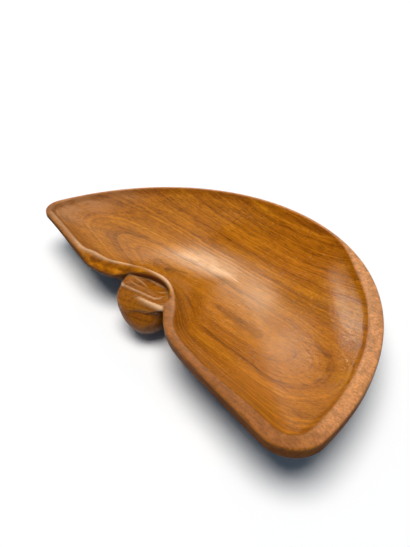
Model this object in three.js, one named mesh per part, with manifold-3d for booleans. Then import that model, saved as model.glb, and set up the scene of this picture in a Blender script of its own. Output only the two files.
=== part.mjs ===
// A half-round dish carved from a thick hardwood board. Its straight side is notched, and a
// carved grip sits in the notch, bedded against the dish's wall and pinned to it by two dowels.
// Millimetres. +X runs along the straight side, +Y towards the crown of the curved side, and
// +Z up from the floor that the dish stands on.
import * as THREE from "three";
import Module from "manifold-3d";

const wasm = await Module();
wasm.setup();

// Dish, seen from above
const LENGTH = 520;
const DEPTH = 292;
const CORNER = { left: 27, right: 38 }; // radii at the two ends of the straight side
const LEFT_SWEEP = 6; // how far the straight side bends back at its left end
const RIM_WIDTH = 15; // at the right end and over the notch
const RIM_BACK = 4.5; // along the curved side
const NOTCH = { x: -10, depth: 48, spread: 54 };

// Dish, seen from the side
const HEIGHT = 66;
const DISH_DEPTH = 46;
const LIP = { from: -132, full: -104, fading: 2, to: 42 }; // where the rim is rolled down
const FOOT = { x: 0, y: 158, halfLength: 150, halfWidth: 84 };
const FLOOR = { x: -12, y: 160, halfLength: 68, halfWidth: 40 };

// Grip, placed by the middle of its top, its nose turned towards the right end
const GRIP = { x: -10, y: 36, turn: 20, bottom: 57, hollow: 15 };

// Dowels, along Y through the seat of the grip
const DOWEL = { radius: 5, length: 34, spacing: 28, drop: 30, inDish: 12 };
const FIT = 0.3; // play left where two pieces meet

// Points in each part of a ring round the dish, and in a ring round the grip
const COUNT = { straight: 8, notch: 52, corner: 9, arc: 66, grip: 48 };

const lerp = THREE.MathUtils.lerp;
const smoothstep = THREE.MathUtils.smoothstep;
const bell = (x, middle, spread) => Math.exp(-(((x - middle) / spread) ** 2));

// Evenly spaced points of a curve given by a function of 0..1, without its last point.
function trace(curve, count) {
  const fine = [];
  for (let i = 0; i <= 200; i++) {
    fine.push(curve(i / 200));
  }
  return new THREE.Path(fine).getSpacedPoints(count).slice(0, count);
}

// The outer edge of the rim, counter-clockwise from the left end of the straight side, with
// the direction that points into the dish at each point.
function rimEdge() {
  const half = LENGTH / 2 / Math.cos(Math.asin(CORNER.right / DEPTH));
  const arcPoint = (angle) => new THREE.Vector2(half * Math.cos(angle), DEPTH * Math.sin(angle));
  const start = Math.asin(CORNER.right / DEPTH);
  const end = Math.PI - Math.asin((CORNER.left + LEFT_SWEEP) / DEPTH);
  const right = arcPoint(start).x - CORNER.right;
  const left = arcPoint(end).x + CORNER.left;
  const side = (x) => {
    const swept = LEFT_SWEEP * smoothstep(-x, 110, -left + 20);
    return new THREE.Vector2(x, swept + NOTCH.depth * bell(x, NOTCH.x, NOTCH.spread));
  };
  const reach = 2.4 * NOTCH.spread;
  const corner = (x, y, radius, from) => (t) => {
    const angle = from + (t * Math.PI) / 2;
    return new THREE.Vector2(x + radius * Math.cos(angle), y + radius * Math.sin(angle));
  };
  const points = [
    ...trace((t) => side(lerp(left, NOTCH.x - reach, t)), COUNT.straight),
    ...trace((t) => side(lerp(NOTCH.x - reach, NOTCH.x + reach, t)), COUNT.notch),
    ...trace((t) => side(lerp(NOTCH.x + reach, right, t)), COUNT.straight),
    ...trace(corner(right, CORNER.right, CORNER.right, -Math.PI / 2), COUNT.corner),
    ...trace((t) => arcPoint(lerp(start, end, t)), COUNT.arc),
    ...trace(corner(left, side(left).y + CORNER.left, CORNER.left, Math.PI), COUNT.corner),
  ];
  const turns = turnsToOval(points);
  return points.map((point, i) => {
    const before = points.at(i - 1);
    const after = points[(i + 1) % points.length];
    const along = after.clone().sub(before).normalize();
    const front = 1 - smoothstep(point.y, NOTCH.depth + 4, NOTCH.depth + 20);
    const rolled =
      smoothstep(point.x, LIP.from, LIP.full) * (1 - smoothstep(point.x, LIP.fading, LIP.to));
    const lip = front * rolled;
    const seat = lip * smoothstep(point.x, -66, -44);
    const leftEnd = front * smoothstep(-point.x, 110, 190);
    return {
      x: point.x,
      y: point.y,
      inX: -along.y,
      inY: along.x,
      turn: turns[i],
      lip,
      seat,
      leftEnd,
      ...hollowAt(point, lip),
    };
  });
}

// How the hollow differs along the edge. The rim is broad at the right end and narrow along the
// curved side, the right wall is sloped, and both ends of the hollow are shallow like a spoon.
function hollowAt({ x, y }, lip) {
  const front = 8.5 + 1.5 * smoothstep(x, 0, 40) + 5 * smoothstep(x, 120, 215);
  const back = lerp(RIM_BACK, RIM_WIDTH, smoothstep(x, 45, 130));
  const spoonEnd = (endX, endY, reach) => 1 - smoothstep(Math.hypot(x - endX, y - endY), 12, reach);
  return {
    rim: lerp(lerp(front, RIM_WIDTH, lip), back, smoothstep(y, 20, 70)),
    sloped: smoothstep(x, 90, 180) * smoothstep(y, 4, 40),
    spoon: 0.07 * spoonEnd(252, 8, 75) + 0.1 * spoonEnd(-256, 12, 80),
  };
}

// The direction on an oval that each point of the edge is drawn to, in radians. The middle of
// the notch goes to the front and the crown to the back, and between them it follows the edge's
// length, so that the ends of the dish open out as evenly as its long sides.
function turnsToOval(points) {
  const front = COUNT.straight + COUNT.notch / 2;
  const back = 2 * COUNT.straight + COUNT.notch + COUNT.corner + COUNT.arc / 2;
  const turns = [];
  const halfTurn = (from, to, startAngle) => {
    const run = [0];
    for (let i = from; i < to; i++) {
      const next = points[(i + 1) % points.length];
      run.push(run.at(-1) + points[i % points.length].distanceTo(next));
    }
    for (let i = from; i < to; i++) {
      turns[i % points.length] = startAngle + (Math.PI * run[i - from]) / run.at(-1);
    }
  };
  halfTurn(front, back, -Math.PI / 2);
  halfTurn(back, front + points.length, Math.PI / 2);
  return turns;
}

const edge = rimEdge();

// One ring of the dish: the rim's edge moved in by inset, then drawn towards an oval by share.
// inset, drop and share are numbers, or functions of the point of the edge.
function dishRing(inset, drop, share, oval) {
  const valueAt = (value, point) => (typeof value === "function" ? value(point) : value);
  return edge.map((point) => {
    const x = point.x + point.inX * valueAt(inset, point);
    const y = point.y + point.inY * valueAt(inset, point);
    const drawn = valueAt(share, point);
    return new THREE.Vector3(
      lerp(x, oval.x + oval.halfLength * Math.cos(point.turn), drawn),
      lerp(y, oval.y + oval.halfWidth * Math.sin(point.turn), drawn),
      HEIGHT - valueAt(drop, point),
    );
  });
}

// The outside, from the foot up to where the wall stands upright under the rim. grow moves it
// out, which cuts clearance around it.
function undersideRings(grow) {
  const stations = [
    { drop: 66, inset: 23, share: 1 },
    { drop: 63, inset: 22.5, share: 0.93 },
    { drop: 56, inset: 21, share: 0.72 },
    { drop: 47, inset: 19, share: 0.46 },
    { drop: 38, inset: 16, share: 0.25 },
    { drop: 30, inset: 12.5, share: 0.11 },
    { drop: 23, inset: 8, share: 0.03 },
  ];
  return stations.map(({ drop, inset, share }) => {
    const beyondSeat = Math.max(0, 12 - inset) + 3 * (1 - share);
    const push = (point) =>
      inset - grow + beyondSeat * point.seat + 5 * (1 - share) * point.leftEnd;
    return dishRing(push, drop, share, FOOT);
  });
}

// Over the edge, ring by ring: how far in and how far down on the plain rim, where the rim
// is rolled down over a shelf on the left of the grip, and over the seat of the grip.
function rimRings(grow) {
  const rows = [
    { plain: [3.2, 17], shelf: [3, 19], seat: [13, 20] },
    { plain: [0.6, 12.5], shelf: [0.6, 15], seat: [12.5, 16] },
    { plain: [0, 8], shelf: [0, 12], seat: [11.5, 12] },
    { plain: [0, 1.2], shelf: [1, 9.4], seat: [9, 8.8] },
    { plain: [1, 0.2], shelf: [4, 8], seat: [6.6, 7.4] },
    { plain: [4, 0], shelf: [6.6, 7.6], seat: [5.6, 6] },
    { plain: [7.5, 0], shelf: [7.6, 4.6], seat: [6.4, 4] },
    { plain: [11, 0], shelf: [10, 1.7], seat: [9.6, 1.6] },
    { plain: [RIM_WIDTH - 1, 0], shelf: [RIM_WIDTH - 1, 0.2], seat: [RIM_WIDTH - 1, 0.2] },
  ];
  return rows.map(({ plain, shelf, seat }) => {
    const blend = (k, point) => lerp(lerp(plain[k], shelf[k], point.lip), seat[k], point.seat);
    const endPush = plain[1] > 8 ? 3 : 0;
    const fixed = 4; // the rounded outer edge is the same all round
    const narrowed = (inset, point) =>
      plain[0] > fixed
        ? fixed + ((inset - fixed) * (point.rim - fixed)) / (RIM_WIDTH - fixed)
        : inset;
    const push = (point) =>
      narrowed(blend(0, point), point) - grow + endPush * point.leftEnd;
    return dishRing(push, (point) => blend(1, point), 0, FLOOR);
  });
}

// The inside, from the rim down a short steep wall and over the hollow to its lowest part.
function insideRings() {
  const stations = [
    { part: 0.03, inset: RIM_WIDTH + 1, share: 0 },
    { part: 0.12, inset: 18.5, share: 0 },
    { part: 0.22, inset: 21, share: 0.012 },
    { part: 0.33, inset: 22, share: 0.055 },
    { part: 0.44, inset: 22, share: 0.125 },
    { part: 0.54, inset: 22, share: 0.225 },
    { part: 0.64, inset: 22, share: 0.35 },
    { part: 0.74, inset: 22, share: 0.51 },
    { part: 0.83, inset: 22, share: 0.69 },
    { part: 0.915, inset: 22, share: 0.86 },
    { part: 0.97, inset: 22, share: 1 },
  ];
  const lowest = { ...FLOOR, halfLength: FLOOR.halfLength / 2, halfWidth: FLOOR.halfWidth / 2 };
  return [
    ...stations.map(({ part, inset, share }) => {
      const push = (point) =>
        inset + point.rim - RIM_WIDTH + 8 * point.sloped * smoothstep(part, 0, 0.34);
      const drawn = (point) => lerp(share, 1, point.spoon * smoothstep(part, 0.15, 0.6));
      return dishRing(push, DISH_DEPTH * part, drawn, FLOOR);
    }),
    dishRing(0, DISH_DEPTH * 0.9925, 1, lowest),
  ];
}

// One ring round the grip, by how far it reaches from the middle and how deep it lies there.
// front, side and drop give the left first, then the right, and drop then gives the back.
function gripRing({ front, side, back, drop, rise = 0 }) {
  const rounded = (value) => Math.sign(value) * Math.abs(value) ** 0.85;
  const turn = THREE.MathUtils.degToRad(GRIP.turn);
  const ring = [];
  for (let i = 0; i < COUNT.grip; i++) {
    const angle = (2 * Math.PI * i) / COUNT.grip;
    const across = rounded(Math.cos(angle));
    const along = rounded(Math.sin(angle));
    const x = across * side[across < 0 ? 0 : 1];
    const rightness = smoothstep(x, -14, 4);
    const y = along * (along < 0 ? lerp(front[0], front[1], rightness) : back);
    const frontDrop = lerp(drop[0], drop[1], rightness) - rise * smoothstep(x, 6, 30);
    ring.push(
      new THREE.Vector3(
        GRIP.x + x * Math.cos(turn) - y * Math.sin(turn),
        GRIP.y + x * Math.sin(turn) + y * Math.cos(turn),
        HEIGHT - lerp(frontDrop, drop[2], smoothstep(y, -4, 16)),
      ),
    );
  }
  return ring;
}

// The grip from its belly up over the ledge, the shoulder and the ridge into its hollow.
function gripRings() {
  return [
    { front: [14, 15], side: [13, 14], back: 20, drop: [56.4, 56.4, 56] },
    { front: [24, 25], side: [20, 20], back: 40, drop: [53.4, 53.4, 53] },
    { front: [30.5, 32], side: [26, 25], back: 44, drop: [48.4, 48.4, 48] },
    { front: [34, 35.5], side: [31.5, 28], back: 44, drop: [41.5, 41.5, 42] },
    { front: [35, 35.5], side: [36, 29], back: 44, drop: [35, 35, 36] },
    { front: [34.5, 32], side: [40, 29], back: 44, drop: [29, 28.5, 31] },
    { front: [33.5, 25], side: [42, 29], back: 44, drop: [25, 23.5, 27], rise: 5 },
    { front: [32, 26.5], side: [43, 35], back: 44, drop: [21.5, 21, 24], rise: 6 },
    { front: [28.5, 25], side: [43, 38], back: 44, drop: [18, 17, 21], rise: 3.5 },
    { front: [23.5, 21.5], side: [43, 39], back: 44, drop: [15, 12, 13.5], rise: 0.8 },
    { front: [19, 18.5], side: [42.5, 38], back: 44, drop: [13.2, 10.3, 10.8] },
    { front: [14, 14], side: [42, 26], back: 42, drop: [11.4, 12, 9] },
    { front: [9.5, 9.5], side: [40.5, 18.5], back: 27, drop: [10, 10, 11.5] },
    { front: [5.5, 6], side: [36, 15.5], back: 23, drop: [11.8, 12.6, 13.2] },
    { front: [0, 1], side: [26, 11], back: 16, drop: [14.4, 14.8, 14.6] },
  ].map(gripRing);
}

// A closed solid skinned over rings of equally many points, with one point at each end.
function skin(first, rings, last) {
  const count = rings[0].length;
  const points = [first, ...rings.flat(), last];
  const at = (row, i) => 1 + row * count + (i % count);
  const faces = [];
  for (let i = 0; i < count; i++) {
    faces.push(0, at(0, i + 1), at(0, i));
    faces.push(points.length - 1, at(rings.length - 1, i), at(rings.length - 1, i + 1));
    for (let row = 0; row + 1 < rings.length; row++) {
      faces.push(at(row, i), at(row, i + 1), at(row + 1, i + 1));
      faces.push(at(row, i), at(row + 1, i + 1), at(row + 1, i));
    }
  }
  return new wasm.Manifold(
    new wasm.Mesh({
      numProp: 3,
      vertProperties: new Float32Array(points.flatMap((point) => point.toArray())),
      triVerts: new Uint32Array(faces),
    }),
  );
}

// A round bar along Y between two values of y.
function barAlongY(radius, x, from, to, z) {
  const circle = (y) => {
    const ring = [];
    for (let i = 0; i < 24; i++) {
      const angle = (2 * Math.PI * i) / 24;
      ring.push(new THREE.Vector3(x + radius * Math.sin(angle), y, z + radius * Math.cos(angle)));
    }
    return ring;
  };
  return skin(new THREE.Vector3(x, from, z), [circle(from), circle(to)], new THREE.Vector3(x, to, z));
}

function dishSolid() {
  return skin(
    new THREE.Vector3(FOOT.x, FOOT.y, 0),
    [...undersideRings(0), ...rimRings(0), ...insideRings()],
    new THREE.Vector3(FLOOR.x, FLOOR.y, HEIGHT - DISH_DEPTH),
  );
}

// The dish before it is hollowed, grown by the fit, which cuts the seat of the grip.
function seatCutter() {
  return skin(
    new THREE.Vector3(FOOT.x, FOOT.y, 0),
    [...undersideRings(FIT), ...rimRings(FIT).slice(0, 7)],
    new THREE.Vector3(FLOOR.x, FLOOR.y, HEIGHT),
  );
}

function gripSolid() {
  return skin(
    new THREE.Vector3(GRIP.x + 4, GRIP.y - 2, HEIGHT - GRIP.bottom),
    gripRings(),
    new THREE.Vector3(GRIP.x - 7, GRIP.y + 6, HEIGHT - GRIP.hollow),
  );
}

// The dowels stop short of the hollow of the dish, and go deeper into the grip.
function dowels() {
  const seat = NOTCH.depth + 13;
  const to = seat + DOWEL.inDish;
  const from = to - DOWEL.length;
  const z = HEIGHT - DOWEL.drop;
  return [-1, 1].map((side) => {
    const x = NOTCH.x + (side * DOWEL.spacing) / 2;
    return {
      bar: barAlongY(DOWEL.radius, x, from, to, z),
      hole: barAlongY(DOWEL.radius + FIT / 2, x, from - FIT, to + FIT, z),
    };
  });
}

// A named mesh from a solid, in its own material.
function mesh(name, solid, color) {
  const { vertProperties, triVerts } = solid.getMesh();
  const geometry = new THREE.BufferGeometry();
  geometry.setAttribute("position", new THREE.BufferAttribute(vertProperties, 3));
  geometry.setIndex(new THREE.BufferAttribute(triVerts, 1));
  geometry.computeVertexNormals();
  const material = new THREE.MeshStandardMaterial({ color, roughness: 0.4, metalness: 0 });
  const result = new THREE.Mesh(geometry, material);
  result.name = name;
  return result;
}

let dish = dishSolid();
let grip = gripSolid().subtract(seatCutter());
const [leftDowel, rightDowel] = dowels();
for (const { hole } of [leftDowel, rightDowel]) {
  dish = dish.subtract(hole);
  grip = grip.subtract(hole);
}

const semicircularBowl = new THREE.Group();
semicircularBowl.name = "semicircular_bowl";
semicircularBowl.add(
  mesh("dish", dish, 0xb9772f),
  mesh("grip", grip, 0x96581c),
  mesh("dowel_left", leftDowel.bar, 0xd9b98a),
  mesh("dowel_right", rightDowel.bar, 0xd9b98a),
);

// The origin is under the middle of the whole, on the floor.
const box = new THREE.Box3().setFromObject(semicircularBowl);
const middle = box.getCenter(new THREE.Vector3());
for (const child of semicircularBowl.children) {
  child.geometry.translate(-middle.x, -middle.y, -box.min.z);
}

export default semicircularBowl;
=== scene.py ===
# %% [markdown]
# # A half-round carved dish with a grip in its notch
# The real object is one thick board of oily golden hardwood, hollowed with gouges and rubbed
# to a polish, with a fist-sized carved grip glued and pinned into a notch in its straight side.
# It was built first as measured solids. This script loads them as a fixed frame, then models
# the carved skins finely, gives them wood, and lights them like a plain product picture.

# %% Load the measured frame
import math
from functools import reduce

import bmesh
import bpy
from mathutils import Matrix, Vector, noise
from mathutils.bvhtree import BVHTree
from mathutils.geometry import intersect_point_line
from mathutils.kdtree import KDTree


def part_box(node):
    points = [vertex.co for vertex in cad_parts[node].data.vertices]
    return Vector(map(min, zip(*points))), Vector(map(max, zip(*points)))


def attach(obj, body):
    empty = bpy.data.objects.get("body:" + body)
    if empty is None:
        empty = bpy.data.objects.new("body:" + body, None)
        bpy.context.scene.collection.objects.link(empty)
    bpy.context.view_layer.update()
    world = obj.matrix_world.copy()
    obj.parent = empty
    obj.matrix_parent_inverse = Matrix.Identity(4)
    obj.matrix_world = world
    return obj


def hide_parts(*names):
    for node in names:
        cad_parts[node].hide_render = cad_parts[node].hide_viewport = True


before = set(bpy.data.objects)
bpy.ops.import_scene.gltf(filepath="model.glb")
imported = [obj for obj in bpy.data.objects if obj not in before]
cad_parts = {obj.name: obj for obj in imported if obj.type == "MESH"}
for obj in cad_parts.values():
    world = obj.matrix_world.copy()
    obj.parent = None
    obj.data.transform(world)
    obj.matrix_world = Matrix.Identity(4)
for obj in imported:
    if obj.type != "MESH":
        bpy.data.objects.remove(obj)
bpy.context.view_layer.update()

# %% [markdown]
# ## The camera
# The picture was taken from above one end of the dish, close enough for strong perspective.
# A camera could be placed by eye, but the flat rim is a good ruler: the place and direction
# below are the ones under which the rim lies flat and its curved side is half an ellipse.

# %% Camera at the picture's viewpoint
CAMERA_PLACE = Vector((0.4329, -0.3567, 0.4473))
CAMERA_RIGHT = Vector((0.5910, 0.8067, 0.0))
CAMERA_FORWARD = Vector((-0.6522, 0.4778, -0.5885))

lens = bpy.data.cameras.new("picture_camera")
lens.sensor_fit = "AUTO"
lens.sensor_width = 36.0
lens.lens = 36.2
lens.clip_start = 0.01
lens.clip_end = 100.0
camera = bpy.data.objects.new("picture_camera", lens)
camera_up = CAMERA_RIGHT.cross(CAMERA_FORWARD).normalized()
axes = Matrix((CAMERA_RIGHT.normalized(), camera_up, -CAMERA_FORWARD.normalized())).transposed()
camera.matrix_world = Matrix.Translation(CAMERA_PLACE) @ axes.to_4x4()
bpy.context.scene.collection.objects.link(camera)
bpy.context.scene.camera = camera

# %% [markdown]
# ## Small helpers for shapes
# Carved shapes are easiest to give as soft steps and blends between a few measured values, so
# these come first. Sizes are in millimetres, as a carver would say them, and `place` turns a
# point of the plan and its drop below the rim into the frame's metres.

# %% Helpers for smooth steps, blends and places
MM = 0.001
HEIGHT = 66.0
LENGTH = 520.0
dish_low, dish_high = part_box("dish")
PLAN_ORIGIN = Vector((dish_high.x - LENGTH / 2 * MM, dish_low.y, 0))


def smoothstep(value, start, end):
    t = min(max((value - start) / (end - start), 0.0), 1.0)
    return t * t * (3 - 2 * t)


def lerp(a, b, t):
    return a + (b - a) * t


def place(x, y, drop):
    return PLAN_ORIGIN + Vector((x, y, HEIGHT - drop)) * MM


def plan(point):
    """The plan's x, y and the drop below the rim, in millimetres, of a point of the frame."""
    local = (point - PLAN_ORIGIN) / MM
    return local.x, local.y, HEIGHT - local.z


print("plan origin in the frame:", [round(v, 5) for v in PLAN_ORIGIN])

# %% [markdown]
# ## The edge of the rim
# Everything on this dish follows one line, the outer edge of its rim: a straight side with a
# deep notch for the grip, two rounded corners and half an ellipse. It could be drawn as a
# free curve, but formulas keep its measures readable. It is traced here from them into evenly
# spaced points.

# %% Trace the edge
DEPTH = 292.0
CORNER_LEFT = 27.0
CORNER_RIGHT = 38.0
LEFT_SWEEP = 6.0
NOTCH_X = -10.0
NOTCH_DEPTH = 48.0
NOTCH_SPREAD = 54.0
STEPS_STRAIGHT = 16
STEPS_NOTCH = 104
STEPS_CORNER = 18
STEPS_ARC = 132
TRACE_STEPS = 800


def spaced(curve, count):
    """Evenly spaced points of a curve given over 0..1, without its last point."""
    fine = [Vector(curve(i / TRACE_STEPS)) for i in range(TRACE_STEPS + 1)]
    lengths = [0.0]
    for a, b in zip(fine, fine[1:]):
        lengths.append(lengths[-1] + (b - a).length)
    points = []
    at = 0
    for i in range(count):
        target = lengths[-1] * i / count
        while lengths[at + 1] < target:
            at += 1
        part = (target - lengths[at]) / (lengths[at + 1] - lengths[at])
        points.append(fine[at].lerp(fine[at + 1], part))
    return points


def edge_points():
    """The edge from the left corner along the straight side and back over the curved one."""
    start = math.asin(CORNER_RIGHT / DEPTH)
    half = LENGTH / 2 / math.cos(start)
    end = math.pi - math.asin((CORNER_LEFT + LEFT_SWEEP) / DEPTH)
    left = half * math.cos(end) + CORNER_LEFT
    right = half * math.cos(start) - CORNER_RIGHT
    reach = 2.4 * NOTCH_SPREAD

    def side(x):
        swept = LEFT_SWEEP * smoothstep(-x, 110, 20 - left)
        return x, swept + NOTCH_DEPTH * math.exp(-(((x - NOTCH_X) / NOTCH_SPREAD) ** 2))

    def corner(x, y, radius, first):
        def turn(t):
            angle = first + t * math.pi / 2
            return x + radius * math.cos(angle), y + radius * math.sin(angle)
        return turn

    def arc(t):
        angle = lerp(start, end, t)
        return half * math.cos(angle), DEPTH * math.sin(angle)

    left_y = side(left)[1] + CORNER_LEFT
    return [
        *spaced(lambda t: side(lerp(left, NOTCH_X - reach, t)), STEPS_STRAIGHT),
        *spaced(lambda t: side(lerp(NOTCH_X - reach, NOTCH_X + reach, t)), STEPS_NOTCH),
        *spaced(lambda t: side(lerp(NOTCH_X + reach, right, t)), STEPS_STRAIGHT),
        *spaced(corner(right, CORNER_RIGHT, CORNER_RIGHT, -math.pi / 2), STEPS_CORNER),
        *spaced(arc, STEPS_ARC),
        *spaced(corner(left, left_y, CORNER_LEFT, math.pi), STEPS_CORNER),
    ]


points = edge_points()
EDGE_COUNT = len(points)
print("points round the edge:", EDGE_COUNT)

# %% [markdown]
# ## What each point of the edge knows
# The rim isn't the same all round: narrow along the far side, broad at the right end and
# rolled down beside the grip. Rings with outlines of their own would drift apart, so each
# point of the one edge carries its share of every change. It also knows which way it is drawn
# as the dish closes to its oval foot.

# %% Directions, widths and shares along the edge
RIM_WIDTH = 15.0
RIM_FAR = 4.5
RIM_LEFT = 8.5
LIP_STARTS = (-132, -104)  # from no lip to a full lip, along x
LIP_ENDS = (-4, 32)
SEAT_STARTS = (-66, -44)  # from the open lip to the grip's seat
RIGHT_END = (252, 8)  # where the hollow narrows like the tip of a spoon
LEFT_END = (-256, 12)


def turns_to_oval(points):
    """The direction on an oval that each point is drawn to: from the middle of the notch to
    the crown it follows the edge's length."""
    front = STEPS_STRAIGHT + STEPS_NOTCH // 2
    back = 2 * STEPS_STRAIGHT + STEPS_NOTCH + STEPS_CORNER + STEPS_ARC // 2
    turns = [0.0] * EDGE_COUNT
    for first, last, angle in ((front, back, -0.5), (back, front + EDGE_COUNT, 0.5)):
        run = [0.0]
        for i in range(first, last):
            step = points[(i + 1) % EDGE_COUNT] - points[i % EDGE_COUNT]
            run.append(run[-1] + step.length)
        for i in range(first, last):
            turns[i % EDGE_COUNT] = math.pi * (angle + run[i - first] / run[-1])
    return turns


class EdgePoint:
    """One point of the rim's edge, with how much the rim is changed there."""

    def __init__(self, index, turn):
        self.x, self.y = points[index]
        along = (points[(index + 1) % EDGE_COUNT] - points[index - 1]).normalized()
        self.in_x, self.in_y = -along.y, along.x
        self.turn = turn
        front = 1 - smoothstep(self.y, NOTCH_DEPTH + 4, NOTCH_DEPTH + 20)
        rolled = smoothstep(self.x, *LIP_STARTS) * (1 - smoothstep(self.x, *LIP_ENDS))
        self.lip = front * rolled
        self.seat = self.lip * smoothstep(self.x, *SEAT_STARTS)
        self.left_end = front * smoothstep(-self.x, 110, 190)
        self.rim = self.rim_width()
        self.sloped = smoothstep(self.x, 90, 180) * smoothstep(self.y, 4, 40)
        self.spoon = 0.07 * self.near_to(RIGHT_END, 75) + 0.10 * self.near_to(LEFT_END, 80)

    def rim_width(self):
        """Narrow on the far side, broader in front, full on the lip and at the right end."""
        front = RIM_LEFT + 1.5 * smoothstep(self.x, 0, 40) + 5 * smoothstep(self.x, 120, 215)
        front += 3.5 * smoothstep(self.x, -20, 10) * (1 - smoothstep(self.x, 30, 65))
        far = lerp(RIM_FAR, RIM_WIDTH, smoothstep(self.x, 45, 130))
        return lerp(lerp(front, RIM_WIDTH, self.lip), far, smoothstep(self.y, 20, 70))

    def near_to(self, end, reach):
        return 1 - smoothstep(math.hypot(self.x - end[0], self.y - end[1]), 12, reach)


edge = [EdgePoint(i, turn) for i, turn in enumerate(turns_to_oval(points))]
print("rolled rim over", sum(p.lip > 0.5 for p in edge), "points of the edge")

# %% [markdown]
# ## Growing a carved skin ring by ring
# A carved body has no flat faces and no repeats. It could be sculpted from a block, but then
# nothing would stay at its measured place. Here one circle is made, moved onto the edge, and
# its loop of edges is extruded again and again. Every new vertex remembers its number on the
# circle in a layer, so each ring can be put exactly where a rule wants it. The ends are closed
# by merging one last ring into a point.

# %% A skin that grows by extruding its last ring
class Skin:
    def __init__(self, count):
        self.mesh = bmesh.new()
        self.number = self.mesh.verts.layers.int.new("number")
        circle = bmesh.ops.create_circle(self.mesh, cap_ends=False, radius=1, segments=count)
        for i, vert in enumerate(circle["verts"]):
            vert[self.number] = i
        self.last = circle["verts"]
        self.loop = list(self.mesh.edges)
        self.rings = [self.last]

    def shape(self, verts, rule):
        for vert in verts:
            vert.co = rule(vert[self.number])

    def extrude(self, rule):
        grown = bmesh.ops.extrude_edge_only(self.mesh, edges=self.loop)["geom"]
        self.last = [item for item in grown if isinstance(item, bmesh.types.BMVert)]
        self.loop = [item for item in grown if isinstance(item, bmesh.types.BMEdge)]
        self.rings.append(self.last)
        self.shape(self.last, rule)


def skin_over(count, rules):
    """A skin over rings given by rules, still open at both ends."""
    skin = Skin(count)
    skin.shape(skin.last, rules[0])
    for rule in rules[1:]:
        skin.extrude(rule)
    return skin


def finer(rows, times):
    """Rows of numbers with smooth rows between them, by Catmull-Rom's rule."""
    result = []
    for i in range(len(rows) - 1):
        a, b, c, d = rows[max(i - 1, 0)], rows[i], rows[i + 1], rows[min(i + 2, len(rows) - 1)]
        for step in range(times):
            t = step / times
            row = []
            for p, q, r, s in zip(a, b, c, d):
                slope = (r - p) * t + (2 * p - 5 * q + 4 * r - s) * t * t
                row.append(q + 0.5 * (slope + (3 * q - p - 3 * r + s) * t ** 3))
            result.append(row)
    return result + [rows[-1]]


print("a skin is grown from a circle of", EDGE_COUNT, "vertices")

# %% [markdown]
# ## The dish
# Three sets of rings make the dish. The underside climbs from an oval foot to a short upright
# wall. The rim goes over the edge: a flat band, which beside the grip is rolled down into a
# narrow lip. The inside falls steeply and then opens into a bowl. Each row below says how far
# in from the edge a ring lies, how far down, and how much it is drawn to an oval.

# %% The rows of the dish
FOOT = (0.0, 158.0, 150.0, 84.0)  # an oval: middle x and y, half length, half depth
FLOOR = (-12.0, 160.0, 68.0, 40.0)
DISH_DEPTH = 46.0
ROUNDED_EDGE = 2.6  # the flat of the rim starts this far in
UNDERSIDE = [  # drop, inset, share of the oval
    (66, 23, 1), (63, 22.5, 0.93), (56, 21, 0.72), (47, 19, 0.46),
    (38, 16, 0.25), (30, 12.5, 0.11), (23, 8, 0.03),
]
RIM = [  # inset and drop: plain, over the open lip left of the grip, over its seat
    (3.2, 17, 3, 19, 12.5, 20), (0.6, 12.5, 0.6, 15, 11.5, 16), (0, 8, 0, 12, 8.5, 12.6),
    (0, 1.6, 1, 9.4, 6.2, 10.2), (0.9, 0.3, 4, 8, 5.4, 8.2), (2.6, 0, 6.6, 7.6, 5.5, 6),
    (6, 0, 7.6, 4.6, 6.4, 4), (10, 0, 10, 1.7, 9.6, 1.6), (13.4, 0, 13.4, 0.2, 13.4, 0.2),
]
INSIDE = [  # share of the depth, inset, share of the oval
    (0.022, 15.7, 0), (0.12, 18.2, 0), (0.22, 20.6, 0.012), (0.33, 22, 0.055),
    (0.44, 22, 0.125), (0.54, 22, 0.225), (0.64, 22, 0.35), (0.74, 22, 0.51),
    (0.83, 22, 0.69), (0.915, 22, 0.86), (0.97, 22, 1),
]
print("rows:", len(UNDERSIDE), "below,", len(RIM), "over the rim,", len(INSIDE), "inside")

# %% [markdown]
# ## From rows to rings
# Each point of each ring could be written down, but that would be thousands of numbers. So
# these rules work them out: each goes along the edge and bends its row by what the point knows.

# %% The rings of the dish
def ring_place(point, inset, drop, share, oval):
    """A place so far in from the edge and below the rim, drawn to an oval by a share."""
    middle_x, middle_y, half_x, half_y = oval
    x = lerp(point.x + point.in_x * inset, middle_x + half_x * math.cos(point.turn), share)
    y = lerp(point.y + point.in_y * inset, middle_y + half_y * math.sin(point.turn), share)
    return place(x, y, drop)


def underside_rules(grow):
    """The outside from the foot up, grown outwards by a glue line where that is wanted."""
    def rule(drop, inset, share):
        beyond = max(0.0, 12 - inset) + 3 * (1 - share)

        def put(number):
            point = edge[number]
            push = inset - grow + beyond * point.seat + 5 * (1 - share) * point.left_end
            return ring_place(point, push, drop, share, FOOT)
        return put
    return [rule(*row) for row in finer(UNDERSIDE, 2)]


def rim_rules(grow, rows):
    """Each row as it is on the plain rim, over the open lip and over the seat, blended."""
    def rule(row):
        def put(number):
            point = edge[number]
            inset, drop = [
                lerp(lerp(row[k], row[2 + k], point.lip), row[4 + k], point.seat) for k in (0, 1)
            ]
            if row[1] > 8:
                inset += 3 * point.left_end
            if row[0] > ROUNDED_EDGE:
                narrowed = (point.rim - ROUNDED_EDGE) / (RIM_WIDTH - ROUNDED_EDGE)
                inset = ROUNDED_EDGE + (inset - ROUNDED_EDGE) * narrowed
            return ring_place(point, inset - grow, drop, 0, FLOOR)
        return put
    return [rule(row) for row in rows]


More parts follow.
